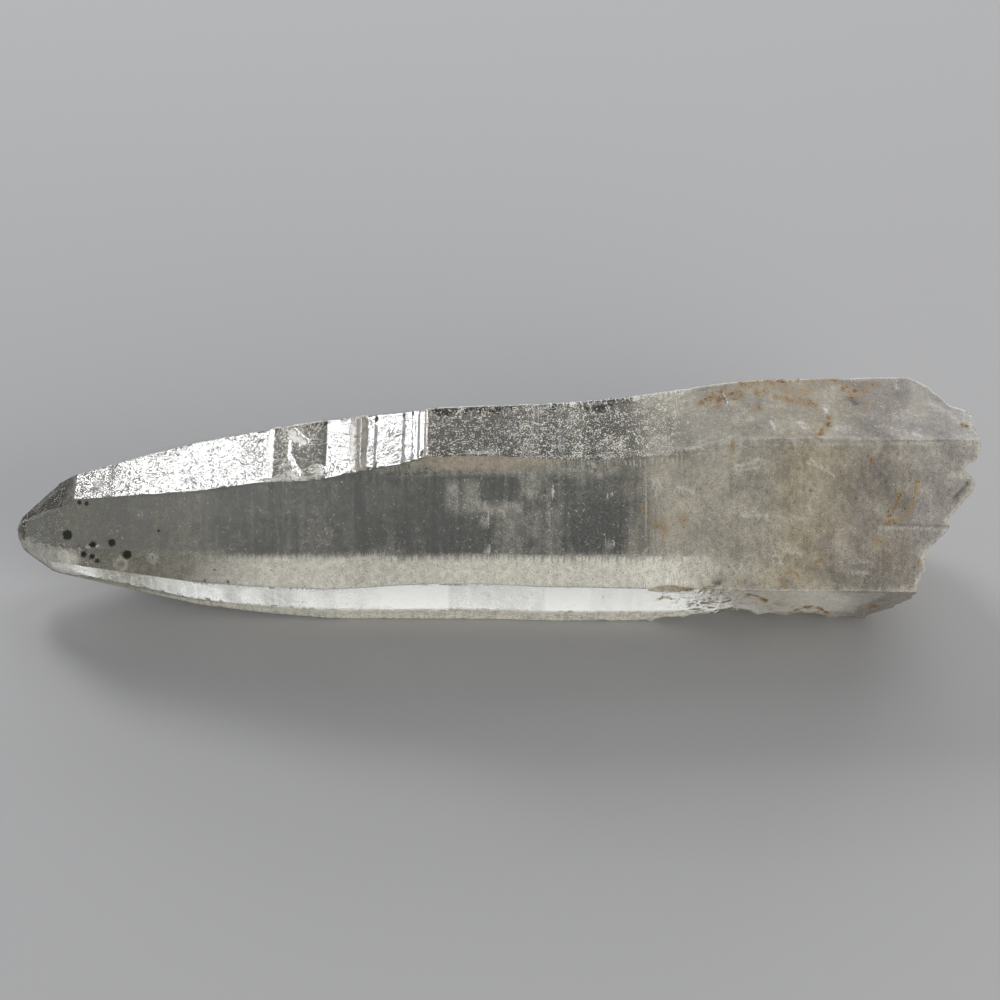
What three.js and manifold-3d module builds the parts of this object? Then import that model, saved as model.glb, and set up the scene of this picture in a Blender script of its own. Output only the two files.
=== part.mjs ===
// A rough quartz crystal, lying on one of its six long faces. Millimetres, +Z up.
// X runs along the crystal, from its point at -X to its broken root at +X.
// Each long face keeps its direction and draws in towards the point at its own rate, in growth
// ledges, so every cross-section is a hexagon with 120 degree corners. Six end facets close the
// point, at quartz's own angle. The root is a ragged break, and a few chips mark the edges.
import * as THREE from 'three';
import { mergeVertices } from 'three/addons/utils/BufferGeometryUtils.js';
import Module from 'manifold-3d';

const LENGTH = 89; // from the point to the farthest splinter of the root
const AXIS_HEIGHT = 7.1; // the crystal's axis above the surface it lies on
const FACET_ANGLE = 38.2; // degrees between an end facet and the axis
const POINT_OFFSET = { y: 1.0, z: -0.8 }; // the point stands off the axis
const WORN_RADIUS = 0.35; // the flat left at the very point by wear
const WORN_SLOPE = 2.2; // the worn bevel round it, radius gained per millimetre
const POINT_ROWS = [0, 0.25, 0.5, 0.9, 1.4, 2, 2.7, 3.4, 4.2, 5]; // where rings stand at the point
const ROW_START = 5.7; // from here on they stand at even steps
const ROW_STEP = 1.7;
const ROW_MERGE = 0.12; // two rings are never closer than this
const PLATE_BEVEL = 0.2; // length of the slope at each end of a growth plate
const OVERRUN = 4; // the long faces run on past the root, which the break then cuts

// The long faces, in order round the crystal. turn is the way a face looks, in degrees from +Y
// towards +Z. facet is how far its end facet stands out at the point. profile lists its distance
// from the axis at distances from the point, with a ledge wherever the rate changes.
const FACES = [
  {
    name: 'back', turn: 30, facet: 0.6, columns: 5,
    profile: [[-2, 3.1], [5.7, 4.65], [12.4, 6.5], [17, 7.5], [22, 8.2], [29.2, 9.2], [38, 9.05],
      [45, 9.45], [50, 9.87], [54.5, 10.4], [58, 10.92], [61, 11.45], [63.8, 11.93],
      [66, 12.2], [68.5, 12.42], [72, 12.6], [78, 12.8], [96, 12.9]],
  },
  {
    name: 'top', turn: 90, facet: 1.1, columns: 5,
    profile: [[-2, 3.2], [24.2, 8.6], [29.2, 9.2], [31.1, 9.68], [31.3, 9.8], [32, 9.98],
      [32.3, 10.16], [32.8, 10.18], [33.6, 10.39], [33.8, 10.49], [36.1, 11.08], [36.5, 11.25],
      [37, 11.38], [37.2, 11.48], [37.6, 11.58], [37.8, 11.67], [38.2, 11.77], [38.4, 11.93],
      [40, 12], [43, 12], [46, 11.9], [51, 11.65], [55, 11.6], [58, 11.65], [60, 11.7],
      [61.8, 11.82], [63.3, 12], [65, 12.24], [66.5, 12.42], [68, 12.54], [70, 12.59],
      [73, 12.55], [78, 12.4], [96, 12.2]],
  },
  {
    name: 'front', turn: 150, facet: 0.9, columns: 6,
    profile: [[-2, 1.65], [5.7, 3.35], [17, 5.9], [27, 7.35], [31, 7.7], [35.8, 8.6], [39.5, 9.05],
      [45, 8.9], [52, 8.9], [58, 8.6], [66, 8.1], [78, 7.7], [96, 7.3]],
  },
  {
    name: 'lower_front', turn: 210, facet: 1.05, columns: 4,
    profile: [[-2, 2.25], [5.7, 3.8], [17, 6.05], [22, 6.6], [29, 7.15], [44, 7.2], [50, 7.43],
      [96, 7.43]],
  },
  {
    name: 'resting', turn: 270, facet: 1.0, columns: 4,
    profile: [[-2, 2.0], [5.7, 3.55], [17, 5.85], [24, 6.65], [31, AXIS_HEIGHT], [96, AXIS_HEIGHT]],
  },
  {
    name: 'lower_back', turn: 330, facet: 0.8, columns: 5,
    profile: [[-2, 2.5], [5.7, 4.4], [12.4, 6], [22, 7.9], [29, 8.7], [40, 9.2], [60, 9.6],
      [80, 10.2], [96, 10.4]],
  },
];

// Growth plates: low rectangular steps that stand on a face, or sink into it where rise is
// negative. from and to are distances from the point, left and right are shares of its width.
const PLATES = [
  { face: 'lower_front', from: 40.2, to: 44.2, left: 0, right: 1, rise: -0.06 },
  { face: 'lower_front', from: 44.2, to: 46.6, left: 0, right: 1, rise: -0.03 },
  { face: 'lower_front', from: 57.5, to: 92, left: 0, right: 1, rise: -0.03 },
  { face: 'lower_back', from: 33, to: 42, left: 0.25, right: 1, rise: -0.08 },
  { face: 'lower_back', from: 60, to: 72, left: 0, right: 0.6, rise: -0.15 },
  { face: 'back', from: 18, to: 26, left: 0.3, right: 1, rise: -0.08 },
  { face: 'back', from: 41, to: 52, left: 0, right: 0.6, rise: -0.1 },
  { face: 'back', from: 70, to: 80, left: 0.4, right: 1, rise: -0.15 },
];

// The ragged break at the root. Its grain leans back by BREAK_LEAN, and RIM says how far the
// crystal reaches along X, going up across that grain from the surface it lies on.
const BREAK_LEAN = 40; // degrees
const BREAK_SECTION = LENGTH - 4; // the section whose front edges the rim follows
const BREAK_STEP = 1.3; // one cell of the break's surface, going back
const BREAK_REACH = { near: -13, far: 21 };
const BREAK_FALL = 0.2; // how fast the break draws in, going back from its front rim
const SHELF = { pitch: 4.6, drop: 0.75, bulge: 0.16 }; // shell-like shelves, going back
const ROUGH = { height: 0.45, from: 0.5, full: 4 }; // lumps between them, once clear of the rim
const RIM = [[-4, 76], [0.4, 79.4], [1.3, 81.6], [2.2, 83.1], [2.9, 83.5], [3.6, 83.4], [4.8, 84.2],
  [5.9, 84.1], [6.9, 84.5], [7.3, 84.9], [8.4, 86], [8.9, 86.3], [9.3, 86], [10.6, 87.1],
  [11.9, 88.3], [12.7, 88.6], [13.4, 88.4], [14.1, 87.6], [14.6, 87.9], [14.75, 88.5],
  [15.3, 88.8], [16.2, LENGTH], [17.3, 88.9], [18.1, 88.5], [19, 88.5], [19.5, 88.1],
  [19.8, 87.4], [19.95, 86.6], [20.8, 85.9], [21.9, 84.7], [22.7, 83.1], [27, 78]];

// Chips knocked out of the edges and pits in the faces: centre (distance from the point, Y and
// height as in the section through the axis) and half sizes of a rough lump that is cut away.
const CHIPS = [
  { at: [72, 7.6, 13.0], size: [0.9, 0.8, 0.8] },
  { at: [41.7, -4.7, -7.4], size: [0.8, 0.7, 0.6] },
  { at: [35.1, 1.2, 11.1], size: [0.33, 0.36, 0.3] },
  { at: [61.3, -5.1, -7.6], size: [2.2, 2.1, 1.5] },
  { at: [64.2, -4.9, -7.8], size: [2.5, 2.6, 2.6] },
  { at: [67.1, -5.0, -7.9], size: [2.6, 2.8, 3.8] },
  { at: [70.3, -4.8, -7.9], size: [2.5, 2.5, 2.5] },
  { at: [73.5, -4.9, -7.9], size: [2.7, 2.4, 2.8] },
  { at: [77.3, -4.9, -8.0], size: [3.2, 1.9, 1.8] },
  { at: [60.6, -9.4, 0.5], size: [2.4, 0.8, 0.9] },
  { at: [54, 10.9, 1.4], size: [2.2, 1.0, 1.3] },
  { at: [77.5, 14.2, 2.6], size: [3.2, 1.7, 2.6] },
  { at: [13.4, 2.6, 6.9], size: [0.7, 0.6, 0.5] },
  { at: [82, 6.5, -7.6], size: [4.2, 3.2, 1.2] },
];

const QUARTZ = { color: 0xc9c7bf, roughness: 0.25, metalness: 0 };

const radians = THREE.MathUtils.degToRad;
const facetSlope = Math.tan(radians(FACET_ANGLE));

// Reads a list of [place, value] pairs at any place, straight between neighbours.
function along(pairs, place) {
  const next = pairs.findIndex(([at]) => at > place);
  if (next < 1) {
    return pairs[next === 0 ? 0 : pairs.length - 1][1];
  }
  const [a, b] = [pairs[next - 1], pairs[next]];
  return THREE.MathUtils.mapLinear(place, a[0], b[0], a[1], b[1]);
}

// Distance of a face from the axis: its long face, its end facet or the worn bevel, whichever
// lies farthest in.
function faceDistance(face, x) {
  const turn = radians(face.turn);
  const point = POINT_OFFSET.y * Math.cos(turn) + POINT_OFFSET.z * Math.sin(turn);
  const facet = point + face.facet + facetSlope * x;
  const worn = point + WORN_RADIUS + WORN_SLOPE * x;
  return Math.min(along(face.profile, x), facet, worn);
}

// The corner of the section at x where two neighbouring faces meet.
function corner(face, next, x) {
  const turn = radians(face.turn);
  const reach = faceDistance(face, x);
  const slide = (faceDistance(next, x) - reach * 0.5) / Math.sin(radians(60));
  return {
    y: reach * Math.cos(turn) - slide * Math.sin(turn),
    z: reach * Math.sin(turn) + slide * Math.cos(turn),
  };
}

// How far the growth plates lift a face at x and at a share of its width.
function plateRise(face, x, share) {
  const covers = (plate) => plate.face === face.name && x > plate.from && x < plate.to
    && share > plate.left - 0.01 && share < plate.right + 0.01;
  return PLATES.filter(covers).reduce((sum, plate) => sum + plate.rise, 0);
}

// One ring of points round the section at x, starting each face at its corner.
function ring(x) {
  const points = [];
  FACES.forEach((face, index) => {
    const before = FACES.at(index - 1);
    const after = FACES[(index + 1) % FACES.length];
    const start = corner(before, face, x);
    const end = corner(face, after, x);
    const turn = radians(face.turn);
    for (let column = 0; column < face.columns; column += 1) {
      const share = column / face.columns;
      const rise = column === 0 ? 0 : plateRise(face, x, share);
      points.push([
        x,
        THREE.MathUtils.lerp(start.y, end.y, share) + rise * Math.cos(turn),
        THREE.MathUtils.lerp(start.z, end.z, share) + rise * Math.sin(turn),
      ]);
    }
  });
  return points;
}

// Where the rings stand: at even steps, at each ledge, at each plate's edges, and where an end
// facet gives way to its long face.
function ringStations() {
  const stations = [...POINT_ROWS];
  for (let x = ROW_START; x < LENGTH + OVERRUN; x += ROW_STEP) {
    stations.push(x);
  }
  FACES.forEach((face) => stations.push(...face.profile.map(([at]) => at)));
  PLATES.forEach(({ from, to }) => {
    stations.push(from, from + PLATE_BEVEL, to - PLATE_BEVEL, to);
  });
  const inside = stations.filter((x) => x >= 0 && x <= LENGTH + OVERRUN);
  inside.sort((a, b) => a - b);
  return inside.filter((x, index) => index === 0 || x - inside[index - 1] > ROW_MERGE);
}

// A closed solid from rings of points, each with the same count and each running anticlockwise
// when looked at from the rings that follow it.
function solidFromRings(rings) {
  const count = rings[0].length;
  const positions = rings.flat(2);
  const triangles = [];
  for (let row = 0; row + 1 < rings.length; row += 1) {
    for (let column = 0; column < count; column += 1) {
      const a = row * count + column;
      const b = row * count + (column + 1) % count;
      triangles.push(a, b, a + count, b, b + count, a + count);
    }
  }
  const last = (rings.length - 1) * count;
  for (let column = 1; column + 1 < count; column += 1) {
    triangles.push(0, column + 1, column);
    triangles.push(last, last + column, last + column + 1);
  }
  const geometry = new THREE.BufferGeometry();
  geometry.setAttribute('position', new THREE.Float32BufferAttribute(positions, 3));
  geometry.setIndex(triangles);
  return geometry;
}

// The waste beyond the root: a block whose near side is the ragged surface of the break.
function breakWaste() {
  const lean = radians(BREAK_LEAN);
  const across = (y, z) => y * Math.sin(lean) + z * Math.cos(lean);
  const into = (y, z) => y * Math.cos(lean) - z * Math.sin(lean);
  const edges = FACES.map((face, index) => (
    corner(face, FACES[(index + 1) % FACES.length], BREAK_SECTION)
  ));
  const frontEdges = edges.slice(0, 4).reverse();
  const nearSide = frontEdges.map(({ y, z }) => [across(y, z), into(y, z)]);
  const foot = nearSide[0][0];
  const reach = (v, u) => {
    const depth = Math.max(0, u - along(nearSide, v));
    const turns = depth / SHELF.pitch;
    const shelves = SHELF.drop * (turns - SHELF.bulge * Math.sin(2 * Math.PI * turns));
    const lumps = Math.sin(1.7 * v + 0.9 * u) * Math.sin(0.8 * u - 1.1 * v + 2);
    const rough = ROUGH.height * THREE.MathUtils.smoothstep(depth, ROUGH.from, ROUGH.full);
    return along(RIM, v - foot) - BREAK_FALL * depth - shelves + rough * lumps;
  };
  const rings = [];
  const beyond = LENGTH + 2 * OVERRUN;
  RIM.forEach(([height]) => {
    const v = height + foot;
    const strip = [];
    for (let u = BREAK_REACH.far; u >= BREAK_REACH.near; u -= BREAK_STEP) {
      strip.push([reach(v, u), u]);
    }
    strip.push([beyond, BREAK_REACH.near], [beyond, BREAK_REACH.far]);
    rings.push(strip.map(([x, u]) => [
      x,
      v * Math.sin(lean) + u * Math.cos(lean),
      v * Math.cos(lean) - u * Math.sin(lean),
    ]));
  });
  return solidFromRings(rings);
}

// The rough lump that makes one chip, turned differently each time.
function chipWaste(chip, index) {
  const lump = new THREE.IcosahedronGeometry(1, 1);
  lump.rotateX(1.3 * index);
  lump.rotateZ(0.7 * index);
  lump.scale(...chip.size);
  lump.translate(...chip.at);
  return lump;
}

const wasm = await Module();
wasm.setup();

function toSolid(geometry) {
  const bare = geometry.clone();
  bare.deleteAttribute('normal');
  bare.deleteAttribute('uv');
  const welded = mergeVertices(bare, 1e-4);
  return new wasm.Manifold(new wasm.Mesh({
    numProp: 3,
    vertProperties: new Float32Array(welded.attributes.position.array),
    triVerts: new Uint32Array(welded.index.array),
  }));
}

function toGeometry(solid) {
  const mesh = solid.getMesh();
  const geometry = new THREE.BufferGeometry();
  geometry.setAttribute('position', new THREE.BufferAttribute(mesh.vertProperties, 3));
  geometry.setIndex(new THREE.BufferAttribute(mesh.triVerts, 1));
  geometry.computeVertexNormals();
  return geometry;
}

let crystal = toSolid(solidFromRings(ringStations().map(ring)));
crystal = crystal.subtract(toSolid(breakWaste()));
CHIPS.forEach((chip, index) => {
  crystal = crystal.subtract(toSolid(chipWaste(chip, index)));
});

const geometry = toGeometry(crystal);
geometry.computeBoundingBox();
const box = geometry.boundingBox;
geometry.translate(-(box.min.x + box.max.x) / 2, -(box.min.y + box.max.y) / 2, AXIS_HEIGHT);

const quartz = new THREE.Mesh(geometry, new THREE.MeshStandardMaterial(QUARTZ));
quartz.name = 'quartz_crystal';

const part = new THREE.Group();
part.add(quartz);
export default part;
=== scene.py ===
import math

import bmesh
import bpy
import numpy as np
from mathutils import Matrix, Vector, noise
from mathutils.kdtree import KDTree


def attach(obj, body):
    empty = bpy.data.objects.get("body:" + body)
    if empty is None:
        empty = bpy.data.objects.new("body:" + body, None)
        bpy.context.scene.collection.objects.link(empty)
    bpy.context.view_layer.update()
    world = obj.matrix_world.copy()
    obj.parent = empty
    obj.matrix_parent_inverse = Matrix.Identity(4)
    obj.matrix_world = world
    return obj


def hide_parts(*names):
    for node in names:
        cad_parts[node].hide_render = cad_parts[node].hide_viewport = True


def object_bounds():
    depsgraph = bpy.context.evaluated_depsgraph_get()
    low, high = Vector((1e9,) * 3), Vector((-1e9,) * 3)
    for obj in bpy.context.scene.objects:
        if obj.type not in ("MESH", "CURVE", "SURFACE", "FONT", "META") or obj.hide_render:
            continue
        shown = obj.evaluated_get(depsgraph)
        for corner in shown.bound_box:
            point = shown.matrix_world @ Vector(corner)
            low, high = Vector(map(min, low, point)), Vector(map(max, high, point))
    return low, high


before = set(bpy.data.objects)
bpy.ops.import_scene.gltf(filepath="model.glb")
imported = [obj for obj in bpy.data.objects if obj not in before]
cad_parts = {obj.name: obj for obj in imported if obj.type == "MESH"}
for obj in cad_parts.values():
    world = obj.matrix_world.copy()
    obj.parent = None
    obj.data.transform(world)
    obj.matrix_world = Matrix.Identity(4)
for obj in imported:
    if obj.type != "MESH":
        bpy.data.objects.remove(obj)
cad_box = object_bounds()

MM = 0.001

# ---------------------------------------------------------------------------------------------
# The crystal: one piece of quartz that grew in the ground as a six-sided prism, drawing in to its
# point in ledges. It is clear at the point and milky at the root, where it broke off its rock.
# Nothing holds it: it lies on one long face. Pits, ledges and worn edges are cut into its solid.
# ---------------------------------------------------------------------------------------------
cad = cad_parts["quartz_crystal"]
POINT_X = cad_box[0][0]
SIDES = {"back": 30, "top": 90, "front": 150, "lower_front": 210, "resting": 270, "lower_back": 330}
SIDE_CODE = {name: code for code, name in enumerate(SIDES)}
BROKEN = len(SIDES)  # code of the triangles that belong to a break or a chip
SIDE_SPREAD = 7  # degrees that a long face's triangles may turn about the axis
STEEP = 0.5  # share of a triangle's normal that points along the axis
END_FACETS = 6.2  # mm from the point within which a steep triangle is an end facet
SHARP_TURN = math.radians(24)


def off_by(turn, side):
    """Degrees between a direction about the axis and the way that a side faces."""
    return abs((turn - SIDES[side] + 180) % 360 - 180)


shell = bmesh.new()
shell.from_mesh(cad.data)
bmesh.ops.remove_doubles(shell, verts=shell.verts, dist=1e-6)
shell.normal_update()
side_of = shell.faces.layers.int.new("side")
for face in shell.faces:
    turn = math.degrees(math.atan2(face.normal.z, face.normal.y))
    side = min(SIDES, key=lambda name: off_by(turn, name))
    from_point = (face.calc_center_median().x - POINT_X) / MM
    steep = abs(face.normal.x) > STEEP and from_point > END_FACETS
    face[side_of] = BROKEN if steep or off_by(turn, side) > SIDE_SPREAD else SIDE_CODE[side]


def tree_of(points):
    """A tree that finds which of the points lies nearest to a place."""
    tree = KDTree(len(points))
    for index, point in enumerate(points):
        tree.insert(point, index)
    tree.balance()
    return tree


# Points set closely along every sharp edge, to ask how near an edge a place is.
RIM_PITCH = 0.12 * MM
rims = []
for edge in shell.edges:
    if edge.calc_face_angle(0) > SHARP_TURN:
        a, b = (vert.co.copy() for vert in edge.verts)
        parts = max(1, int((b - a).length / RIM_PITCH))
        rims += [a.lerp(b, (i + 0.5) / parts) for i in range(parts)]
rim_tree = tree_of(rims)

# Places on the crystal are given in mm by two measures: along, the distance from the point, and
# up, the height up its front when it is looked at from above at a slant.
SLANT = math.radians(40)
FOOT_Y = -6.3

# Marks on the front: the strength and the width in mm of each, and the places it runs through.
STAIN_TRAILS = [  # iron stains
    (1.0, 0.6, [(65.2, 20.4), (66.0, 20.9), (67.0, 21.0)]), (0.75, 0.5, [(63.6, 20.2), (64.8, 20.7)]),
    (1.0, 0.45, [(68.9, 21.0)]), (0.9, 0.4, [(68.9, 19.6), (68.5, 19.4)]), (0.7, 0.3, [(62.4, 20.0)]),
    (0.9, 0.5, [(67.6, 22.3), (70, 22.5), (72.4, 22.5)]), (0.9, 0.45, [(73.9, 22.6), (76.2, 22.5)]),
    (0.5, 1.0, [(67.0, 21.8), (72.0, 21.6), (73.5, 21.2)]), (1.1, 0.5, [(77.1, 21.5), (77.5, 21.0)]),
    (0.95, 0.35, [(77.6, 21.2), (78.6, 21.5), (79.8, 22.1)]), (0.6, 0.3, [(78.3, 20.6), (78.7, 19.9)]),
    (0.85, 0.35, [(70.6, 20.8), (71.9, 20.5), (73.1, 20.3), (74.1, 20.0)]),
    (0.95, 0.3, [(75.3, 19.0), (75.2, 18.4), (75.0, 17.8), (74.5, 17.4), (74.0, 17.1)]),
    (0.5, 0.5, [(74.7, 19.7)]), (0.45, 0.25, [(73.1, 16.5), (72.9, 15.6), (72.8, 14.6), (73.1, 13.8)]),
    (0.6, 0.16, [(79.0, 15.0), (79.0, 14.5)]), (0.5, 0.4, [(66.3, 16.4), (66.2, 15.8)]),
    (0.75, 0.25, [(83.2, 13.0), (83.1, 11.8), (82.6, 10.6), (81.8, 9.4), (80.4, 9.1)]),
    (0.7, 0.2, [(81.7, 11.8), (81.3, 10.6), (80.6, 9.7)]), (0.5, 0.45, [(79.2, 7.5), (80.3, 7.3)]),
    (0.4, 0.4, [(80.2, 6.2), (80.7, 5.9)]), (0.7, 0.18, [(74.2, 5.6), (75.1, 6.0)]),
    (0.5, 0.2, [(71.4, 4.5), (72.0, 4.7), (72.4, 4.2)]), (0.5, 0.2, [(70.9, 3.9), (71.3, 3.2)]),
    (0.45, 0.2, [(69.4, 3.9), (69.3, 3.2)]), (0.4, 0.2, [(67.2, 4.0), (67.1, 3.4)]),
    (1.1, 0.4, [(60.2, 8.6), (60.4, 8.2)]), (0.9, 0.35, [(59.4, 8.9), (59.9, 8.6)]),
    (0.45, 0.2, [(58.1, 10.6), (58.7, 9.7)]), (0.9, 0.28, [(61.5, 9.3), (62.0, 9.5)]),
    (0.6, 0.3, [(57.4, 13.2), (57.3, 12.6)]), (0.3, 1.0, [(58.4, 10.0), (61.6, 8.8)]),
    (0.8, 0.2, [(59.9, 2.0), (60.2, 2.5), (60.9, 2.2)]),
    (0.7, 0.15, [(61.4, 2.7), (63.7, 3.2), (65.2, 3.4)]), (0.6, 0.18, [(61.9, 3.0), (64.8, 2.8)]),
    (0.7, 0.15, [(62.5, 1.7), (62.8, 1.2)]), (0.7, 0.18, [(64.0, 1.6), (64.6, 1.9)]),
    (0.9, 0.2, [(66.4, 2.0)]), (1.0, 0.18, [(67.6, 2.4), (68.6, 2.4), (69.7, 1.9)]),
    (0.38, 1.0, [(61.5, 2.2), (68, 2.0), (72, 1.4)]), (0.5, 0.5, [(73, 0.6), (75.5, 0.5)]),
    (0.8, 0.18, [(72.1, 0.8), (73.5, 1.3), (74.7, 1.2), (75.7, 0.7)]),
    (0.9, 0.16, [(79.4, 1.3), (80.0, 1.4)]), (0.45, 0.4, [(83.4, 5.8), (83.9, 4.2)]),
    (0.9, 0.25, [(87.4, 18.2), (87.8, 18.0)]), (0.7, 0.25, [(88.5, 15.2)]),
    (0.7, 0.16, [(84.8, 18.7)]), (0.5, 0.16, [(83.1, 19.2)]), (0.35, 0.6, [(83.6, 19.9), (84.4, 20.0)]),
    (0.28, 0.9, [(2.5, 10.5), (5.0, 9.5)]), (0.3, 0.7, [(2.4, 13.0), (4.6, 14.8)]),
    (0.15, 0.6, [(48.6, 7.6), (50.2, 7.0)]),
]
PALE_TRAILS = [  # feathers of tiny cracks and dull bruises
    (0.55, 0.2, [(66.5, 14.3), (67.5, 14.5), (68.5, 14.9)]), (0.5, 0.12, [(66.6, 13.9), (68.6, 14.2)]),
    (0.6, 0.12, [(72.9, 14.6), (74.2, 14.2), (75.5, 13.4)]), (0.6, 0.12, [(73.3, 15.0), (73.9, 14.4)]),
    (0.6, 0.2, [(67.3, 9.8), (69.4, 9.8)]), (0.45, 0.5, [(63.0, 5.8), (64.4, 4.9)]),
    (0.5, 0.2, [(61.2, 12.4), (62.6, 12.0)]), (0.4, 0.5, [(75.6, 17.9), (76.8, 17.8)]),
    (0.7, 0.3, [(72.6, 18.2), (73.0, 17.8)]), (0.8, 0.12, [(69.9, 18.4), (70.2, 17.7)]),
    (0.6, 0.2, [(82.9, 17.3), (83.6, 16.9), (83.0, 16.4), (83.9, 16.2)]),
    (0.85, 0.4, [(74.9, 19.7), (75.1, 19.4)]), (0.9, 0.2, [(81.8, 21.6)]),
    (0.5, 0.35, [(84.7, 20.2), (86.3, 19.2), (87.7, 17.8)]), (0.5, 0.9, [(87.8, 18.8), (88.3, 16.8)]),
    (0.4, 0.16, [(79.8, 8.7), (83.0, 8.6), (86.7, 8.5)]), (0.45, 0.5, [(83.8, 6.2), (83.6, 4.0)]),
    (0.5, 0.2, [(77.4, 4.6), (78.6, 4.5)]), (0.4, 0.2, [(78.0, 5.6), (79.0, 5.5)]),
    (0.5, 0.16, [(71.0, 6.5), (72.6, 6.3)]), (0.4, 0.3, [(86.2, 13.6), (87.4, 13.4)]),
    (0.8, 0.18, [(6.9, 6.9), (8.0, 7.0)]), (0.7, 0.16, [(6.2, 6.8), (6.3, 6.2)]),
]
DARK_TRAILS = [  # hairline breaks and dark grains
    (0.45, 0.1, [(79.6, 9.0), (83.0, 8.95), (86.7, 8.8)]), (0.6, 0.2, [(86.5, 11.4), (87.7, 12.7)]),
    (0.9, 0.3, [(77.6, 20.4), (77.8, 20.1)]), (0.9, 0.14, [(73.4, 12.1)]), (0.7, 0.12, [(69.4, 12.0)]),
    (0.9, 0.2, [(64.6, 3.6), (65.2, 3.6)]), (0.7, 0.1, [(66.0, 20.2), (65.6, 21.2)]),
]
MARK_PITCH = 0.15
FINE_MARK = 0.4  # mm, the width under which a mark needs a finer mesh


def on_map(point):
    """The (along, up) place in mm of a point in metres."""
    rise = (point.y / MM - FOOT_Y) * math.sin(SLANT) + point.z / MM * math.cos(SLANT)
    return Vector(((point.x - POINT_X) / MM, rise, 0))


marked = []
for _, width, stops in STAIN_TRAILS + PALE_TRAILS + DARK_TRAILS:
    for (x0, u0), (x1, u1) in zip(stops, stops[1:] or stops):
        parts = 1 + int(math.hypot(x1 - x0, u1 - u0) / MARK_PITCH)
        start, end = Vector((x0, u0, 0)), Vector((x1, u1, 0))
        marked += [start.lerp(end, i / parts) for i in range(parts + 1) if width < FINE_MARK]
mark_tree = tree_of(marked)

# The surface is cut into small triangles: narrow along the crystal on its clear part, where the
# ledges cross it, and even ones at its edges, its point, its scars, its marks and its root. Those
# on the three faces that look back or down are coarser.
CLEAR_CELL = (0.3, 1.1)  # mm along and across
EVEN_CELL = 0.46
EDGE_CELL = 0.32
EDGE_BAND = 0.4
MARK_CELL = 0.21
MARK_BAND = 0.35
COARSER = 1.8
COARSE_SIDES = [SIDE_CODE[name] for name in ("back", "lower_back", "resting")]
POINT_END = 9
SCARS = (24, 31)
SCARS_ABOVE = 15
ROOT_START = 62
MOST_ROUNDS = 10


def is_long(edge):
    middle = (edge.verts[0].co + edge.verts[1].co) / 2
    step = (edge.verts[1].co - edge.verts[0].co) / MM
    if edge.link_faces[0][side_of] in COARSE_SIDES:
        step /= COARSER
    elif step.length > MARK_CELL and mark_tree.find(on_map(middle))[2] < MARK_BAND:
        return True
    if step.length < EDGE_CELL:
        return False
    if rim_tree.find(middle)[2] < EDGE_BAND * MM:
        return True
    x = (middle.x - POINT_X) / MM
    scarred = SCARS[0] < x < SCARS[1] and middle.z > SCARS_ABOVE * MM
    if x < POINT_END or x > ROOT_START or scarred:
        return step.length > EVEN_CELL
    return math.hypot(step.x / CLEAR_CELL[0], math.hypot(step.y, step.z) / CLEAR_CELL[1]) > 1


for _ in range(MOST_ROUNDS):
    long_edges = [edge for edge in shell.edges if is_long(edge)]
    if not long_edges:
        break
    bmesh.ops.subdivide_edges(shell, edges=long_edges, cuts=1)
    bmesh.ops.triangulate(shell, faces=[face for face in shell.faces if len(face.verts) > 3])
shell.normal_update()
surface = bpy.data.meshes.new("quartz_crystal_surface")
shell.to_mesh(surface)
shell.free()
surface.shade_smooth()

total = len(surface.vertices)
places = np.empty(3 * total, np.float32)
surface.vertices.foreach_get("co", places)
places = places.reshape(-1, 3) / MM
outwards = np.empty(3 * total, np.float32)
surface.vertex_normals.foreach_get("vector", outwards)
outwards = outwards.reshape(-1, 3)
along = places[:, 0] - POINT_X / MM
up = (places[:, 1] - FOOT_Y) * math.sin(SLANT) + places[:, 2] * math.cos(SLANT)
facing = outwards @ np.array([0, -math.cos(SLANT), math.sin(SLANT)])
rim_gap = np.array([rim_tree.find(Vector(p) * MM)[2] for p in places.tolist()]) / MM
side_codes = np.empty(len(surface.polygons), np.int32)
surface.attributes["side"].data.foreach_get("value", side_codes)
corners = np.empty(3 * len(surface.polygons), np.int32)
surface.loops.foreach_get("vertex_index", corners)
vertex_side = np.zeros(total, np.int32)
vertex_side[corners] = np.repeat(side_codes, 3)


def soft(value, low, high):
    """0 below low, 1 above high and smooth between them."""
    share = np.clip((value - low) / (high - low), 0, 1)
    return share * share * (3 - 2 * share)


def fall(value, low, high):
    """1 below low, 0 above high and smooth between them."""
    return soft(-value, -high, -low)


def near(distance, reach):
    """1 at no distance, falling softly to about a third at the reach."""
    return np.exp(-(distance / reach) ** 2)


def roll(size, seed):
    """Smooth noise from about -1 to 1 over the crystal, with lumps of the given size in mm."""
    shift = Vector((seed * 13.7, seed * 7.1, seed * 3.3))
    return np.array([noise.noise(Vector(p) / size + shift) for p in places.tolist()])


def from_line(*points):
    """Distance of every vertex from a line through (along, up) points, in mm."""
    nearest = np.full(total, np.inf)
    for (x0, u0), (x1, u1) in zip(points, points[1:] or points):
        run = np.array([x1 - x0, u1 - u0])
        offset = np.stack([along - x0, up - u0], axis=1)
        share = np.clip(offset @ run / max(run @ run, 1e-9), 0, 1)
        gap = offset - share[:, None] * run
        nearest = np.minimum(nearest, np.hypot(gap[:, 0], gap[:, 1]))
    return nearest


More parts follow.
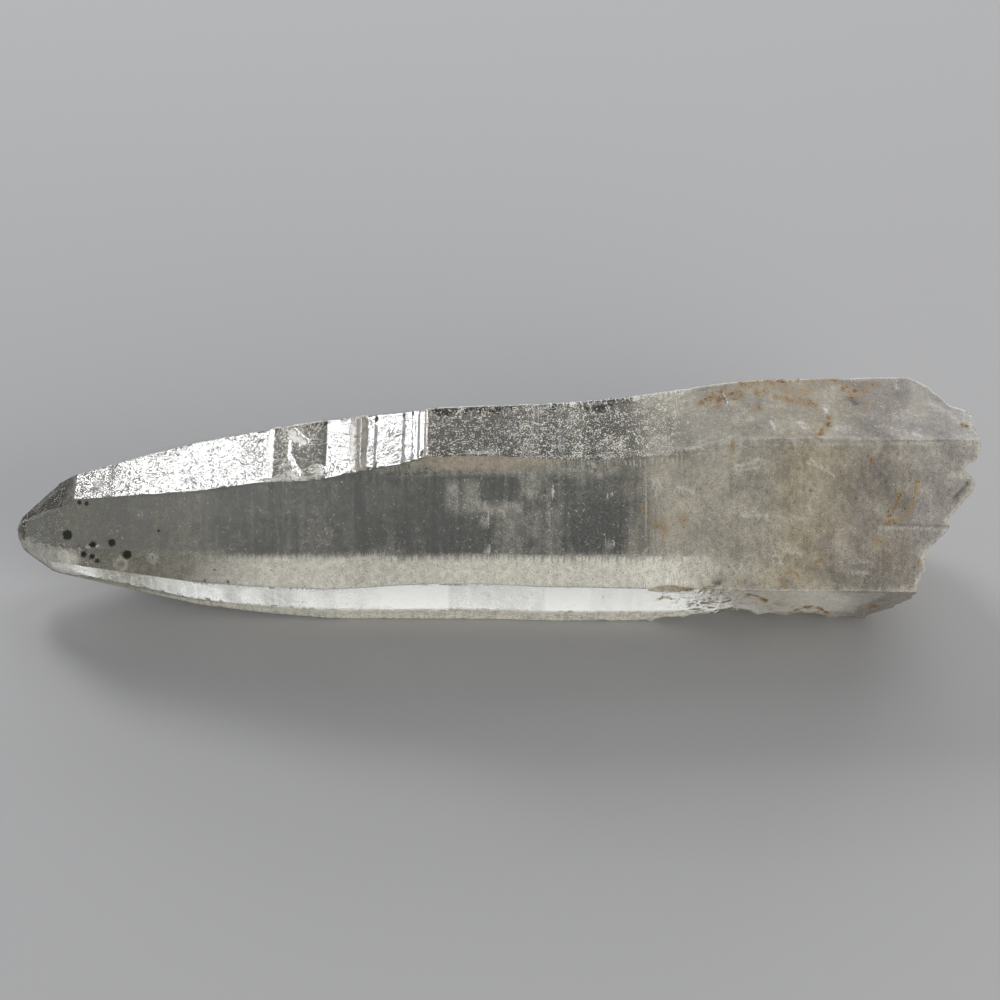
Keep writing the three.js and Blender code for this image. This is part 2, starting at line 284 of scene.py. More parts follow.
# Relief, as depths in mm below the solid's surface.
EDGE_WEAR = (0.008, 0.06)  # at the point and at the root
WEAR_REACH = 0.16
NICK_DEPTH = (0.07, 0.16)  # at the point and at the root
NICK_REACH = 0.3
ROUNDING = 0.6  # radius that the root's edges are worn to
SIDE_TURN = math.radians(60)
WAVE_DEPTH = 0.05
LEDGE_DEPTH = 0.11
LEDGE_SIZE = 1.6
LEDGE_LEVELS = 7
BREAK_DEPTH = 0.34
ABRASION = {"from": 60.5, "to": 69, "top": 3.4, "depth": 0.18}
POINT_WEAR = 0.12
HAIRLINE_DEPTH = 0.06
SCAR_DEPTH = 0.05
CRUSH_DEPTH = 0.06
GROOVE_DEPTH = 0.1
BREAKS_FROM = 20  # mm from the point: nearer to it, a slanting triangle is part of the point

on = {name: vertex_side == code for name, code in SIDE_CODE.items()}
hidden = np.isin(vertex_side, COARSE_SIDES)
broken = (vertex_side == BROKEN) & (along > BREAKS_FROM)
front_half = soft(facing, 0, 0.3)
grit = roll(0.45, 1)
lumps = roll(1.3, 2)
swell = roll(5.0, 3)
rear = soft(along, 40, 62)
kept_rim = 1 - 0.8 * soft(along, 77, 81)
edge_wear = EDGE_WEAR[0] + (EDGE_WEAR[1] - EDGE_WEAR[0]) * rear
nick_depth = NICK_DEPTH[0] + (NICK_DEPTH[1] - NICK_DEPTH[0]) * rear
depth = edge_wear * near(rim_gap, WEAR_REACH) * (0.5 + grit) * kept_rim
low_seam = soft(up, 1.5, 2.5) * fall(up, 5.2, 6.2)
nicks = near(rim_gap, NICK_REACH) * soft(lumps, 0.4 - 0.1 * rear, 0.6)
depth += nick_depth * nicks * kept_rim * (1 - 0.8 * low_seam)
arc_reach = ROUNDING * math.tan(SIDE_TURN / 2)
round_depth = np.maximum(arc_reach - rim_gap, 0) ** 2 / (2 * ROUNDING)
depth += round_depth * soft(along, 58, 70) * kept_rim
open_face = soft(rim_gap, 0.2, 0.8)
depth += WAVE_DEPTH * open_face * (0.5 + swell) * np.where(hidden, 0.1, 1)


def terraces(size, levels):
    """Ledges that cross each long face: noise along the crystal, drawn out into flat treads."""
    wander = 0.12 * roll(3.0, 5)
    apart = 31.7 * vertex_side  # so that no two faces share their ledges
    ledge = np.array([noise.noise(Vector((x / size + w, a, 0)))
                      for x, w, a in zip(along, wander, apart)])
    height = (ledge + 1) * levels
    tread = np.floor(height)
    return (tread + soft(height - tread, 0.3, 0.7)) / (2 * levels)


ledge_share = np.where(hidden, 0.04, 0.8 * soft(rim_gap, 0.3, 3.0))
ledge_share[on["lower_front"]] = 0.3
ledge_share *= 1 - 0.8 * soft(along, 48, 52)
clear_of_mirror = soft(along, 24, 26) * 0.25
ledge_share = np.where(on["top"], clear_of_mirror, ledge_share * soft(along, 7, 12))
depth += LEDGE_DEPTH * open_face * ledge_share * terraces(LEDGE_SIZE, LEDGE_LEVELS)

root_roughness = np.where(broken, soft(rim_gap, 0.05, 0.7), 0.12 * soft(along, 62, 80) * kept_rim)
depth += BREAK_DEPTH * root_roughness * (0.5 + 0.6 * lumps + 0.5 * grit)
abraded = soft(along, ABRASION["from"], ABRASION["from"] + 3)
abraded *= fall(along, ABRASION["to"] - 3, ABRASION["to"])
abraded *= fall(up, ABRASION["top"] - 0.8, ABRASION["top"] + 0.5) * soft(facing, 0, 0.2)
depth += ABRASION["depth"] * abraded * (0.5 + 0.5 * lumps + 0.6 * grit)
at_point = fall(along, 5.2, 6.6) * fall(up + 0.25 * along, 7.4, 8.4) * soft(facing, 0, 0.2)
depth += POINT_WEAR * at_point * (0.5 + 0.6 * grit)

# Old bruises on the top face: a curved scar, a groove beside it and crushed spots.
scar = np.minimum(from_line((25.9, 17.3), (26.2, 17.0), (27.0, 16.6)) - 0.28,
                  from_line((25.9, 17.3)) - 0.42)
scar = fall(scar, -0.05, 0.12)
crushed = fall(from_line((25.6, 14.6), (25.9, 13.9), (26.4, 13.4)), 0.2, 0.75)
crushed = crushed * soft(grit, -0.3, 0.2)
crushed = np.maximum(crushed, fall(from_line((28.3, 14.0), (28.7, 13.8)), 0.15, 0.5))
groove = fall(from_line((25.6, 17.0), (25.5, 15.4), (25.9, 14.0)), 0.02, 0.2)
depth += (SCAR_DEPTH * scar + CRUSH_DEPTH * crushed + GROOVE_DEPTH * groove) * on["top"]


def trails(table, ragged):
    """The strongest of many soft lines, each given by its strength, its width and its points."""
    found = np.zeros(total)
    for strength, width, points in table:
        reach = np.maximum(width * (1 + ragged * grit), 0.1)
        found = np.maximum(found, strength * near(from_line(*points), reach))
    return found


stain = trails(STAIN_TRAILS, 0.9)
pale = trails(PALE_TRAILS, 0.6)
hairline = trails(DARK_TRAILS, 0.3)
depth += HAIRLINE_DEPTH * hairline * front_half

places -= outwards * np.maximum(depth, 0)[:, None]
places[:, 2] = np.maximum(places[:, 2], 0)
surface.vertices.foreach_set("co", (places * MM).ravel())
surface.update()

# Where the quartz is smoky, and rings round some small pits.
clouds = roll(4.5, 7)
wisps = roll(1.8, 8)
mottle = roll(0.8, 12)
STREAK_SIZE = (1.1, 7, 7)  # mm along, across and up
STREAK_SHIFT = Vector((0, 0, 40))
drawn_out = (places / STREAK_SIZE).tolist()
streaks = np.array([noise.noise(Vector(p) + STREAK_SHIFT) for p in drawn_out])
SMOKY = [((79.3, 17.9), 0.9, 0.6), ((79.9, 13.9), 1.1, 0.8), ((80.4, 12.4), 1.0, 0.6),
         ((77.4, 12.4), 1.8, 0.55), ((77.0, 10.4), 1.4, 0.4), ((78.6, 8.4), 1.4, 0.4),
         ((70.2, 16.2), 1.2, 0.35), ((76.6, 4.4), 1.7, 0.5), ((79.6, 3.4), 1.5, 0.5),
         ((64.8, 8.0), 1.5, 0.25), ((68.6, 12.2), 2.0, 0.25), ((82.8, 10.5), 1.2, 0.2),
         ((61.4, 17.5), 1.4, 0.3), ((61.6, 13.4), 1.8, 0.25), ((77.7, 20.3), 0.9, 0.3)]
smoky = np.zeros(total)
for middle, radius, strength in SMOKY:
    hole = near(from_line(middle), radius) * (0.9 + 0.9 * wisps + 0.5 * grit)
    smoky = np.maximum(smoky, strength * hole)
RINGS = [((70.3, 5.8), 0.45), ((66.7, 5.2), 0.42), ((59.3, 12.6), 0.36), ((43.7, 9.2), 0.36),
         ((43.9, 6.4), 0.2), ((55.1, 7.0), 0.26), ((10.1, 5.3), 0.5), ((13.1, 5.9), 0.36),
         ((12.0, 10.0), 0.25)]
RING_WIDTH = 0.15
for middle, radius in RINGS:
    ring = near(from_line(middle) - radius, RING_WIDTH)
    pale = np.maximum(pale, 0.5 * ring)
BRIGHT_SPOTS = [((52.6, 14.4), 0.2), ((55.0, 11.7), 0.24), ((56.5, 12.6), 0.12),
                ((49.9, 12.0), 0.14)]
for middle, radius in BRIGHT_SPOTS:
    pale = np.maximum(pale, 0.9 * near(from_line(middle), radius))

# From here on there is one value for each corner of each triangle, so that what differs between
# two faces of the crystal changes sharply at the edge they share.
corner_side = np.repeat(side_codes, 3)
on = {name: corner_side == code for name, code in SIDE_CODE.items()}
hidden = np.isin(corner_side, COARSE_SIDES)
broken = (corner_side == BROKEN) & (along[corners] > BREAKS_FROM)
along, up, height, rim_gap = (v[corners] for v in (along, up, places[:, 2], rim_gap))
front_half, low_seam, grit, lumps = (v[corners] for v in (front_half, low_seam, grit, lumps))
clouds, wisps, mottle, streaks = (v[corners] for v in (clouds, wisps, mottle, streaks))
stain, pale, hairline, smoky = (v[corners] * front_half for v in (stain, pale, hairline, smoky))
scar, crushed, abraded, at_point = (v[corners] for v in (scar, crushed, abraded, at_point))


def keep(name, values):
    """Stores a value at each corner, for the finish to read."""
    layer = surface.attributes.new(name, "FLOAT", "CORNER")
    layer.data.foreach_set("value", np.ascontiguousarray(values, np.float32))


def stretch(start, end, blur):
    """1 between two places along the crystal, fading over blur at both."""
    return soft(along, start - blur, start + blur) * fall(along, end - blur, end + blur)


def patch(start, end, bottom, top, blur):
    """1 inside a rectangle of (along, up) places, fading over blur at its sides."""
    inside = stretch(start, end, blur)
    return inside * soft(up, bottom - blur, bottom + blur) * fall(up, top - blur, top + blur)


# How milky: wholly at the root, fading inwards in clouds, sooner on the front than behind it.
MILK_EDGE = (55.5, 64)
HIDDEN_MILK_EDGE = (62, 70)
LOW_MILK_EDGE = (61, 72)
edge_of_milk = along + 2.5 * clouds + 1.2 * wisps + 0.2 * (up - 9)
milk = soft(edge_of_milk, *MILK_EDGE)
milk[hidden] = soft(edge_of_milk[hidden], *HIDDEN_MILK_EDGE)
milk[on["lower_front"]] = 0.8 * soft(edge_of_milk[on["lower_front"]], *LOW_MILK_EDGE)
milk *= 0.86 + 0.14 * clouds + 0.12 * wisps

# Haze in the clear part of the front face, and windows in it, by rectangles of growth.
HAZE = [  # start, end, bottom and top in mm, blur and strength
    (-2, 17, -1, 14, 3.0, 0.38), (16, 30, 5, 9.5, 2.5, 0.05), (27, 31.8, 6.5, 11, 0.8, 0.06),
    (40.1, 43.3, 9.9, 12.9, 0.35, 0.26), (43.2, 47.2, 10.0, 11.1, 0.3, 0.32),
    (46.9, 49.4, 11.2, 13.5, 0.4, 0.22), (44.7, 50.6, 5.3, 10.2, 0.8, 0.2),
    (49.0, 52.5, 9.8, 14.5, 1.0, 0.10), (52.4, 54.6, 13.0, 14.6, 0.5, 0.16),
    (57.5, 61, 6.0, 16.0, 1.6, 0.2), (34.0, 36.2, 5.9, 7.4, 0.5, 0.1),
]
WINDOWS = [  # as above
    (32.2, 35.0, 7.0, 13.5, 0.4, 0.6), (35.8, 40.2, 5.6, 9.8, 0.35, 0.9),
    (35.8, 40.2, 9.8, 13.8, 0.5, 0.6), (43.3, 46.9, 11.2, 14.2, 0.5, 0.7),
    (50.6, 56.5, 6.3, 11.4, 0.7, 0.9), (24.5, 27.5, 7.5, 9.5, 0.6, 0.5),
]
haze = 0.035 + 0.06 * streaks + 0.08 * mottle + 0.06 * clouds
for *sides, strength in WINDOWS:
    haze *= 1 - strength * patch(*sides)
for *sides, strength in HAZE:
    haze += strength * patch(*sides) * (1 + 0.6 * streaks + 0.5 * mottle)

# A brown lens under the top face's edge with shade about it, a beige strip of painted light along
# the lower edge of the front face, standing in for light sent back out through the crystal, and a
# dull point.
lens_foot = 13.7 + 0.9 * ((along - 43.5) / 8) ** 2
lens = soft(up, lens_foot, lens_foot + 0.35) * soft(along, 34, 37) * fall(along, 50, 53)
shaded = soft(up, 13.2, 13.8) * soft(along, 33, 35) * fall(along, 55, 58)
haze = np.maximum(haze, np.maximum(0.85 * lens, 0.35 * shaded))
# Painted light: a bright beige strip along the front face's lower edge, on top of what the front lamp
# lights there.
light_band = fall(up, 5.9, 6.4) * soft(along, 16, 24) * fall(along, 60, 66) * on["front"]
dull_tip = fall(up, 6.2, 7.6) * fall(along, 14, 23)
haze = np.where(on["front"], np.maximum(haze, 0.72 * light_band + 0.8 * dull_tip), 0)
calm = np.maximum(light_band, lens * on["front"])

# The lower front face is hazy plate by plate and at its point end, with painted shade that dims
# it more and more from 31 mm towards the point, and a cream strip of painted light along its lower
# edge.
LOW_PLATES = [  # start, end, blur and strength
    (28.5, 33.5, 1.0, 0.16), (40.4, 46.7, 0.12, 0.30), (46.7, 49.3, 0.12, 0.18),
    (53.5, 57.4, 0.12, 0.10),
]
low_plates_and_shade = sum(strength * stretch(*plate) for *plate, strength in LOW_PLATES)
# Painted shade: haze that grows from 31 mm towards the point, dimming that end of the face.
low_plates_and_shade += 0.38 * fall(along, 24, 31) + 0.1 * soft(along, 57.4, 57.7)
low_haze = 0.05 + low_plates_and_shade * (1 + 0.8 * streaks + 0.5 * mottle)
low_haze = np.maximum(low_haze, 0.8 * fall(along, 11, 18) * soft(along, 5, 9))
# Painted light: a bright cream strip along the lower edge, which stands in for light coming through the
# crystal.
foot = fall(height, 2.1, 2.8) * soft(along, 5, 9) * fall(along, 63, 67)
foot *= on["lower_front"]
haze = np.where(on["lower_front"], np.maximum(low_haze, 0.88 * foot), haze)

# The top face is clear but for its point end, bands across it, a scarred gap and a strip past it.
TOP_START = 8.4
GAP = (23.9, 28.7)
GAP_HAZE = (23.9, 28.8, 0.2)  # start, end and blur
GAP_FOOT = (24, 28.6, 0.2)
MIRROR_END = 37.8
TOP_BANDS = [(46.9, 48.7, 0.3), (51.2, 52.9, 0.4), (57.6, 60.4, 0.5)]  # start, end and blur
top_bands = sum(stretch(*across) for across in TOP_BANDS)
top_haze = 0.06 * soft(along, 37.5, 39) + 0.09 * top_bands + 0.14 * stretch(*GAP_HAZE)
top_haze += 0.55 * stretch(31.3, 33.0, 0.15) + 0.35 * near(along - TOP_START, 2.2)
top_haze += 0.15 * soft(clouds, 0.1, 0.5) * fall(along, 23, 37)
haze = np.where(on["top"], top_haze * (1 + 0.9 * streaks + 0.5 * mottle), haze)

# Broken faces and the seam between the two front faces are dull.
seam_line = near(rim_gap, 0.2) * low_seam * (on["front"] | on["lower_front"])
haze = np.where(broken, 0.75, np.maximum(haze, 0.6 * seam_line))
haze = np.clip(haze, 0, 1) * (1 - 0.7 * milk)
keep("cloud", np.clip(0.76 * milk + haze, 0, 1))
unsettled = np.where(on["front"], 0.3 * (1 - 0.6 * calm), 0.8 * haze)
keep("unsettled", np.where(hidden, 0, unsettled * (1 - milk) + 0.22 * milk))

# Crumbs: pinprick pits and grains, as a likelihood from 0 to 1 for each place.
crumbs = 0.1 + 0.25 * np.clip(wisps, 0, 1) + 0.4 * fall(along, 4.5, 6)
crumbs *= 1 - calm
mirror_crumbs = 0.98 + 0.28 * clouds + 0.20 * wisps + 0.4 * near(along - TOP_START, 2.6)
dark_crumbs = 0.78 + 0.12 * clouds + 0.14 * wisps + 0.1 * top_bands + 0.12 * streaks
gap_crumbs = 0.74 + 0.35 * streaks + 0.2 * wisps
top_crumbs = np.where(along < MIRROR_END, mirror_crumbs, dark_crumbs)
top_crumbs = np.where((along > GAP[0]) & (along < GAP[1]), gap_crumbs, top_crumbs)
low_edge = fall(up, 13.4, 14.0) * stretch(*GAP_FOOT)
top_crumbs = np.maximum(top_crumbs, 1.2 * low_edge) * (1 - scar)
top_crumbs = top_crumbs + 0.35 * patch(54.4, 56.7, 15.7, 17.2, 0.4) * (0.8 + 0.8 * grit)
top_crumbs *= 1 - 0.6 * soft(along, 61, 63)
crumbs = np.where(on["top"] & (along > 5.5), top_crumbs, crumbs)
crumbs = np.where(hidden | broken, 0.1, crumbs) + 0.8 * at_point
keep("crumbs", np.clip(crumbs, 0, 1.3))

# Stains, pale marks and dark ones, the bruises made above among them.
LOW_RIM = 5
flecks = 0.5 + 0.5 * soft(mottle + 0.5 * grit, -0.25, 0.3)
rim_line = near(rim_gap, 0.5) * on["lower_front"] * (height < LOW_RIM)
rim_line = rim_line * soft(along, 4, 8) * fall(along, 20, 26)
keep("stain", np.maximum(stain * flecks, 0.25 * rim_line))
pale = np.maximum(pale, on["top"] * np.maximum(scar, 0.7 * crushed))
pale = np.maximum(pale, 0.3 * abraded * soft(lumps + grit, -0.5, 0.5))
pale = np.maximum(pale, 0.7 * at_point)
pale = np.maximum(pale, 0.8 * rim_line * soft(grit + lumps, -0.6, 0.3))
keep("pale", np.clip(pale, 0, 1))
keep("hairline", hairline)
keep("front", front_half)
# Where the top face mirrors the key light. Crumbs there are painted dark grey, as painted shade in that
# reflection.
MIRRORS = [(5, 23.7, 0.1), (28.7, 38, 0.1)]  # start, end and blur
keep("mirror", on["top"] * sum(stretch(*mirror) for mirror in MIRRORS))
striae = soft(rim_gap, 0.05, 0.4) * ~broken * (1 - 0.85 * milk)
top_striae = 0.25 * soft(along, 23.6, 24.2) + 0.35 * soft(along, 28.5, 29)
keep("striae", striae * np.where(on["top"], top_striae, np.where(hidden, 0.2, 1)))
rough = np.clip(broken + 0.2 * abraded + 0.12 * milk + 0.5 * at_point + 0.5 * pale, 0, 1)
keep("rough", rough)
frost_patches = soft(wisps + 0.6 * np.sign(streaks), -0.1, 0.3)
frost = (0.5 * on["back"] + 0.12 * on["lower_back"]) * frost_patches + 0.9 * on["resting"]
keep("dull", 0.3 * frost + 0.3 * rough + 0.15 * milk)

# The colour of the haze and the milk, washed on from one end to the other, with painted light and
# painted shade among it.
TAN = (0.46, 0.42, 0.33)
tint = np.tile(TAN, (len(along), 1))


def wash(share, colour):
    """Mixes a colour into the tint by a share."""
    tint[:] += np.clip(share, 0, 1)[:, None] * (np.array(colour) - tint)


HONEY = (0.43, 0.37, 0.255)
DUSKY = (0.33, 0.285, 0.225)
LAVENDER = (0.42, 0.385, 0.345)
PALE_TAN = (0.50, 0.465, 0.37)
SHELL_AND_EDGE_HIGHLIGHT = (0.60, 0.57, 0.50)
VEIL = (0.56, 0.54, 0.46)
OLIVE = (0.25, 0.24, 0.19)
BAND_LIGHT = (0.82, 0.79, 0.69)
BROWN_LENS = (0.40, 0.35, 0.27)
WHITE = (0.72, 0.71, 0.68)
OLIVE_WHITE = (0.38, 0.37, 0.28)
WORN_CREAM_AND_FOOT_LIGHT = (0.86, 0.83, 0.72)
LOW_CREAM = (0.68, 0.64, 0.55)
LOW_TAN = (0.68, 0.64, 0.54)
LOW_DUSKY = (0.37, 0.345, 0.29)
SMOKE_AND_SHADE = (0.11, 0.098, 0.09)
drift = along + 3 * clouds
wash(soft(drift, 68.5, 71.5), HONEY)
wash(soft(drift, 75, 78.5), DUSKY)
wash(soft(drift, 81, 84), LAVENDER)
wash(fall(up, 4.5, 6.5) * fall(along, 62, 68) * on["front"], PALE_TAN)
wash(0.4 * fall(along, 63, 67) * on["top"], PALE_TAN)
# Painted highlight: a thin pale line along the edges at the root.
edge_highlight = near(rim_gap, 0.35) * soft(along, 58, 66)
wash(0.9 * edge_highlight * ~broken, SHELL_AND_EDGE_HIGHLIGHT)
wash(0.5 * broken * soft(along, 78, 82), SHELL_AND_EDGE_HIGHLIGHT)
wash(0.5 * soft(wisps + 0.5 * clouds, 0, 0.5) * soft(along, 60, 64), PALE_TAN)
wash(0.25 * soft(-wisps + 0.5 * clouds, 0, 0.5) * soft(along, 60, 64), SMOKE_AND_SHADE)
wash(fall(along, 52, 60) * on["front"], VEIL)
wash(fall(along, 12, 24) * on["front"], OLIVE)
# Painted light: the beige of the bright strip along the front face's lower edge.
wash(light_band, BAND_LIGHT)
wash(lens * on["front"], BROWN_LENS)
wash(on["lower_front"], WHITE)
wash(soft(drift, 58, 63) * on["lower_front"], LOW_CREAM)
wash(soft(drift, 68, 73) * on["lower_front"], LOW_TAN)
wash(soft(drift, 75, 79) * on["lower_front"], LOW_DUSKY)
wash(fall(along, 10, 18) * on["lower_front"], OLIVE_WHITE)
# Painted light along the lower front face's lower edge, in the same cream as the worn point.
wash(foot, WORN_CREAM_AND_FOOT_LIGHT)
# Painted shade: the top face a little darker at the root.
wash(0.08 * soft(along, 58, 62) * on["top"], SMOKE_AND_SHADE)
wash(0.8 * at_point, WORN_CREAM_AND_FOOT_LIGHT)
wash(smoky, SMOKE_AND_SHADE)
opaque = np.hstack([tint, np.ones((len(tint), 1))])
layer = surface.attributes.new("tint", "FLOAT_COLOR", "CORNER")
layer.data.foreach_set("color", opaque.astype(np.float32).ravel())

SHARP_CREASE = math.radians(32)
surface.set_sharp_from_angle(angle=SHARP_CREASE)
crystal = bpy.data.objects.new("quartz_body", surface)
bpy.context.scene.collection.objects.link(crystal)


class Signal:
    """One socket of a material's tree, with Python's own arithmetic on it."""

    def __init__(self, tree, socket=None):
        self.tree = tree
        self.socket = socket

    def node(self, kind, settings=None, sockets=None, output=0):
        """Adds a node: its settings first, then its sockets' values or links."""
        node = self.tree.nodes.new("ShaderNode" + kind)
        for name, value in (settings or {}).items():
            setattr(node, name, value)
        for key, value in (sockets or {}).items():
            if isinstance(value, Signal):
                self.tree.links.new(value.socket, node.inputs[key])
            else:
                node.inputs[key].default_value = value
        return Signal(self.tree, node.outputs[output] if len(node.outputs) else None)

    def math(self, operation, *values):
        return self.node("Math", {"operation": operation}, dict(enumerate(values)))

    def __add__(self, other):
        return self.math("ADD", self, other)

    def __sub__(self, other):
        return self.math("SUBTRACT", self, other)

    def __rsub__(self, other):
        return self.math("SUBTRACT", other, self)

    def __mul__(self, other):
        return self.math("MULTIPLY", self, other)

    __radd__ = __add__
    __rmul__ = __mul__

    def top(self, other):
        return self.math("MAXIMUM", self, other)

    def ease(self, low, high):
        """0 below low, 1 above high and smooth between them."""
        sockets = {"Value": self, "From Min": low, "From Max": high}
        return self.node("MapRange", {"interpolation_type": "SMOOTHSTEP"}, sockets)


quartz = bpy.data.materials.new("quartz")
quartz.use_nodes = True
quartz.node_tree.nodes.clear()
paint = Signal(quartz.node_tree)


def read(name):
    """A value that was stored at the corners above."""
    return paint.node("Attribute", {"attribute_name": name}, output="Fac")


COLOURS_IN = (6, 7)  # the Mix node's sockets for two colours, and for the colour it gives
COLOUR_OUT = 2


def blend(share, first, second):
    """Mixes two colours by a share."""
    sockets = {0: share, COLOURS_IN[0]: first, COLOURS_IN[1]: second}
    return paint.node("Mix", {"data_type": "RGBA"}, sockets, COLOUR_OUT)


def mapped(vector, move, scale):
    """The vector scaled and then moved."""
    return paint.node("Mapping", sockets={"Vector": vector, "Location": move, "Scale": scale})


# Places in mm, from the point along the crystal, and the same as (along, up, 0).
whole = paint.node("TexCoord", output="Object")
place = mapped(whole, (-POINT_X / MM, 0, 0), (1 / MM,) * 3)
x, y, z = (paint.node("SeparateXYZ", sockets={"Vector": place}, output=axis) for axis in "XYZ")
rise = (y - FOOT_Y) * math.sin(SLANT) + z * math.cos(SLANT)
map_place = paint.node("CombineXYZ", sockets={"X": x, "Y": rise})


def grain(scale, detail, squeeze=(1, 1, 1), seed=0):
    """Noise from 0 to 1 over the crystal, with scale lumps to the millimetre."""
    where = mapped(place, (seed,) * 3, squeeze)
    return paint.node("TexNoise", sockets={"Vector": where, "Scale": scale, "Detail": detail})


fine = grain(8, 1)
coarse = grain(1.9, 2, seed=29)
steps = grain(2.6, 2, (1, 0.03, 0.03), 9)
cloud = read("cloud")
pale_mark = read("pale")
stained = read("stain")
hairline_mark = read("hairline")
rough_mark = read("rough")
front = read("front")

# Crumbs on and just under the surface: etched pits, dull grains and the iron crusts' own grain.
# Their colour is partly painted light: sparkle on the top face's dark part, and dark specks painted
# as shade where it mirrors the key light.
crumb = (fine + 0.4 * coarse + 0.22 * read("crumbs")).ease(0.952, 1.012)
mixed = 0.8 * fine + 0.4 * coarse
speck = (0.325 - fine).ease(0, 0.05) * cloud
rust = (mixed + 0.34 * stained).ease(0.845, 0.895).top(speck)
ochre = (stained + 2.6 * mixed).ease(1.74, 2.19) * stained.ease(0.02, 0.3)

# Round grains of green-black chlorite that the point grew over: along, up and radius in mm.
CHLORITE = [(5.1, 8.0, 0.54), (7.5, 7.1, 0.38), (6.6, 6.2, 0.34), (7.4, 6.0, 0.3), (7.9, 5.6, 0.28),
            (9.3, 7.3, 0.42), (10.7, 6.2, 0.46), (13.7, 8.4, 0.2), (6.3, 11.0, 0.26),
            (7.0, 10.9, 0.26), (18.9, 4.8, 0.14), (18.0, 3.8, 0.15), (20.1, 3.7, 0.16)]
dark = None
for grain_along, grain_up, radius in CHLORITE:
    sockets = {0: map_place, 1: (grain_along, grain_up, 0)}
    distance = paint.node("VectorMath", {"operation": "DISTANCE"}, sockets, "Value")
    inward = radius - distance
    dark = inward if dark is None else dark.top(inward)
dark = (dark - 0.3 * fine).ease(-0.22, 0) * front

# How cloudy the skin is: the haze, broken up by noise about 0, and all the marks that lie on it.
broken_up = 2.2 * fine + 1.2 * steps + 0.8 * coarse - 2.1
milk_share = cloud + read("unsettled") * broken_up
milk_share = milk_share.top(pale_mark * (2 * fine - 0.1)).top(crumb * 0.97)
milk_share = milk_share.top(rust).top(ochre * 0.8).top(dark * 0.92).top(hairline_mark)
milk_share = milk_share.node("Clamp", sockets={"Value": milk_share})

PALE_MARK = (0.74, 0.72, 0.65, 1)
CREAM_GRAIN_AND_SPARKLE = (0.70, 0.66, 0.56, 1)
MIRROR_PIT_SHADE = (0.12, 0.12, 0.11, 1)
OCHRE = (0.39, 0.25, 0.085, 1)
RUST = (0.11, 0.048, 0.013, 1)
SLATE = (0.05, 0.052, 0.055, 1)
CHLORITE_GREEN = (0.012, 0.014, 0.008, 1)
tone = 0.4 + 0.5 * fine + 0.7 * coarse  # about 1 on average
tinted = paint.node("Attribute", {"attribute_name": "tint"})
colour = paint.node("VectorMath", {"operation": "SCALE"}, {"Vector": tinted, "Scale": tone})
# Crumbs are painted dark grey where the top face mirrors the key light, as painted shade in that
# reflection. Elsewhere they are pale, which on the top face's dark part is painted sparkle as well as
# pale grains.
colour = blend(crumb, colour, blend(read("mirror"), CREAM_GRAIN_AND_SPARKLE, MIRROR_PIT_SHADE))
colour = blend(pale_mark * (2 * fine - 0.05), colour, PALE_MARK)
colour = blend(ochre, colour, OCHRE)
colour = blend(rust, colour, RUST)
colour = blend(hairline_mark, colour, SLATE)
colour = blend(dark, colour, CHLORITE_GREEN)

# One relief map: striae across the long faces, pits, and the grain of broken quartz, in mm.
STRIA_HEIGHT = 0.016
PIT_HEIGHT = 0.012
GRAIN_HEIGHT = 0.22
relief_height = STRIA_HEIGHT * read("striae") * steps + GRAIN_HEIGHT * rough_mark * coarse
relief_height = relief_height - PIT_HEIGHT * crumb
relief = paint.node("Bump", sockets={"Height": relief_height, "Distance": MM})

# Clear quartz that light passes through and dims in, under a cloudy skin where it is milky.
QUARTZ_IOR = 1.544
CLEAR_TINT = (0.49, 0.49, 0.475, 1)
CLEAR_ROUGHNESS = 0.035
CLOUDY_ROUGHNESS = 0.36
CLOUDY_GLOSS = 0.3
SMOKY_TINT = (0.5, 0.5, 0.46, 1)
SMOKY_DENSITY = 75  # per metre
clear = paint.node("BsdfPrincipled", sockets={
    "Base Color": CLEAR_TINT, "Roughness": CLEAR_ROUGHNESS + read("dull"),
    "IOR": QUARTZ_IOR, "Transmission Weight": 1, "Normal": relief})
cloudy = paint.node("BsdfPrincipled", sockets={
    "Base Color": colour, "Roughness": CLOUDY_ROUGHNESS + 0.3 * crumb.top(rust),
    "IOR": QUARTZ_IOR, "Specular IOR Level": CLOUDY_GLOSS, "Normal": relief})
finish = paint.node("MixShader", sockets={0: milk_share, 1: clear, 2: cloudy})
inside = paint.node("VolumeAbsorption", sockets={"Color": SMOKY_TINT, "Density": SMOKY_DENSITY})
paint.node("OutputMaterial", sockets={"Surface": finish, "Volume": inside})
surface.materials.append(quartz)
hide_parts("quartz_crystal")
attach(crystal, "root")

# ---------------------------------------------------------------------------------------------
# The studio: a plain pale floor, soft light from four sides and the camera.
# ---------------------------------------------------------------------------------------------
FLOOR_REACH = 6
FLOOR_DROP = 0.05 * MM
FLOOR_GREY = (0.45, 0.45, 0.45, 1)
FLOOR_ROUGHNESS = 0.9
FLOOR_GLOSS = 0.1
sheet = bmesh.new()
under = Matrix.Translation((0, 0, -FLOOR_DROP))
bmesh.ops.create_grid(sheet, x_segments=1, y_segments=1, size=FLOOR_REACH, matrix=under)
floor_mesh = bpy.data.meshes.new("floor")
sheet.to_mesh(floor_mesh)
sheet.free()
floor = bpy.data.objects.new("floor", floor_mesh)
bpy.context.scene.collection.objects.link(floor)
card = bpy.data.materials.new("floor_card")
card.use_nodes = True
card_finish = card.node_tree.nodes["Principled BSDF"]
card_finish.inputs["Base Color"].default_value = FLOOR_GREY
card_finish.inputs["Roughness"].default_value = FLOOR_ROUGHNESS
card_finish.inputs["Specular IOR Level"].default_value = FLOOR_GLOSS
floor_mesh.materials.append(card)

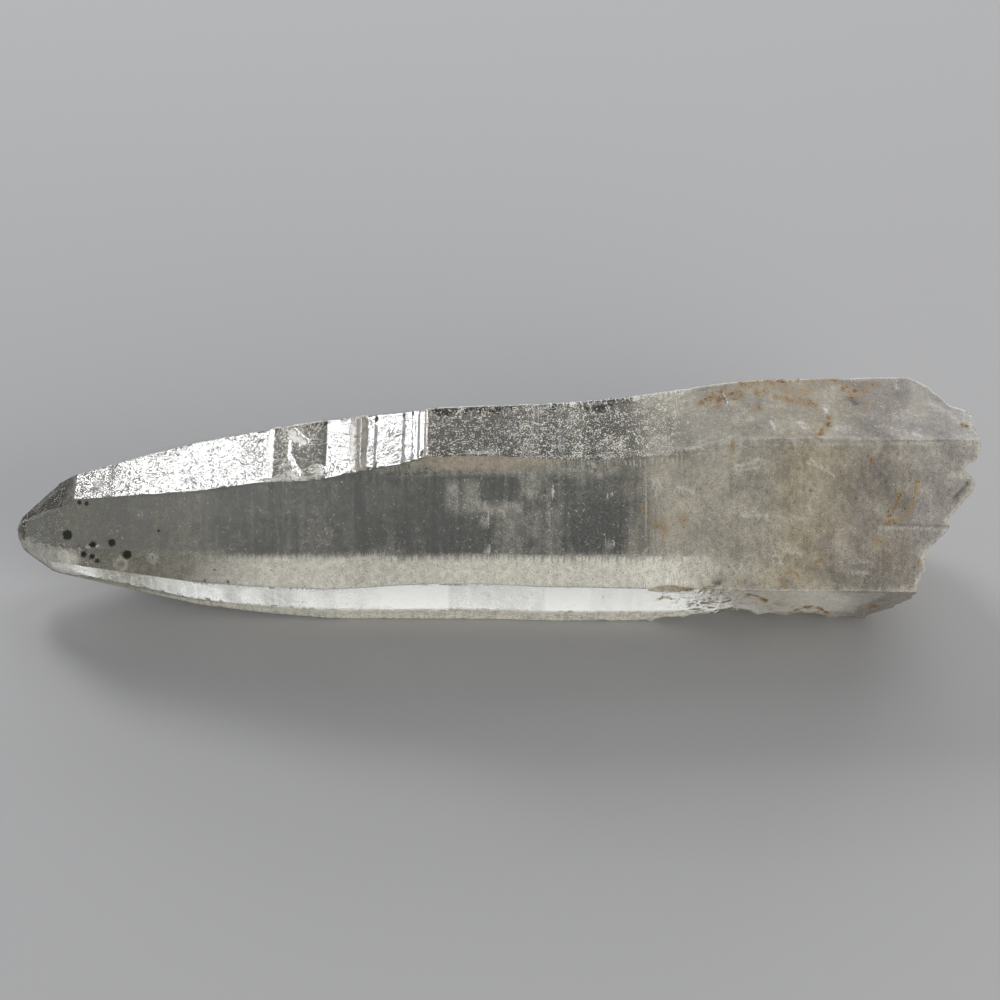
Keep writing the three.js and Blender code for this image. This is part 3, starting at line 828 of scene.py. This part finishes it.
# Softboxes: where each stands (degrees from straight behind towards +X, and above the floor),
# how far away, its width and height in metres, its brightness and its colour.
SOFTBOXES = {
    "key": (-26.5, 36, 0.6, 0.137, 0.15, 20, (1, 1, 1)),
    "behind": (0, 16, 0.9, 1.1, 0.52, 3.3, (0.95, 0.96, 1)),
    "high": (21, 49.7, 0.9, 0.352, 0.325, 3.2, (0.95, 0.96, 1)),
    "front": (143, 19, 0.5, 0.40, 0.34, 3.7, (1, 0.98, 0.94)),
}
for name, (turn, lift, away, width, tall, brightness, light_colour) in SOFTBOXES.items():
    turn, lift = math.radians(turn), math.radians(lift)
    flat = math.cos(lift)
    direction = Vector((math.sin(turn) * flat, math.cos(turn) * flat, math.sin(lift)))
    light = bpy.data.lights.new(name, "AREA")
    light.shape = "RECTANGLE"
    light.size = width
    light.size_y = tall
    light.energy = brightness * math.pi * width * tall
    light.color = light_colour
    lamp = bpy.data.objects.new(name, light)
    lamp.location = direction * away
    lamp.rotation_euler = direction.to_track_quat("Z", "Y").to_euler()
    lamp.visible_camera = False
    bpy.context.scene.collection.objects.link(lamp)
ROOM_COLOUR = (0.94, 0.96, 1, 1)
ROOM_STRENGTH = 0.3
world = bpy.data.worlds.new("studio")
world.use_nodes = True
room = world.node_tree.nodes["Background"]
room.inputs["Color"].default_value = ROOM_COLOUR
room.inputs["Strength"].default_value = ROOM_STRENGTH
bpy.context.scene.world = world
bpy.context.scene.view_settings.view_transform = "Standard"

AIM = Vector((0.65, 0.2, 9.2)) * MM
CAMERA_RISE = math.radians(40)
CAMERA_AWAY = 0.389
FOCAL_LENGTH = 150
NEAREST_SEEN = 0.01
optics = bpy.data.cameras.new("camera")
optics.lens = FOCAL_LENGTH
optics.clip_start = NEAREST_SEEN
camera = bpy.data.objects.new("camera", optics)
camera.location = AIM + CAMERA_AWAY * Vector((0, -math.cos(CAMERA_RISE), math.sin(CAMERA_RISE)))
camera.rotation_euler = (math.pi / 2 - CAMERA_RISE, 0, 0)
bpy.context.scene.collection.objects.link(camera)
bpy.context.scene.camera = camera
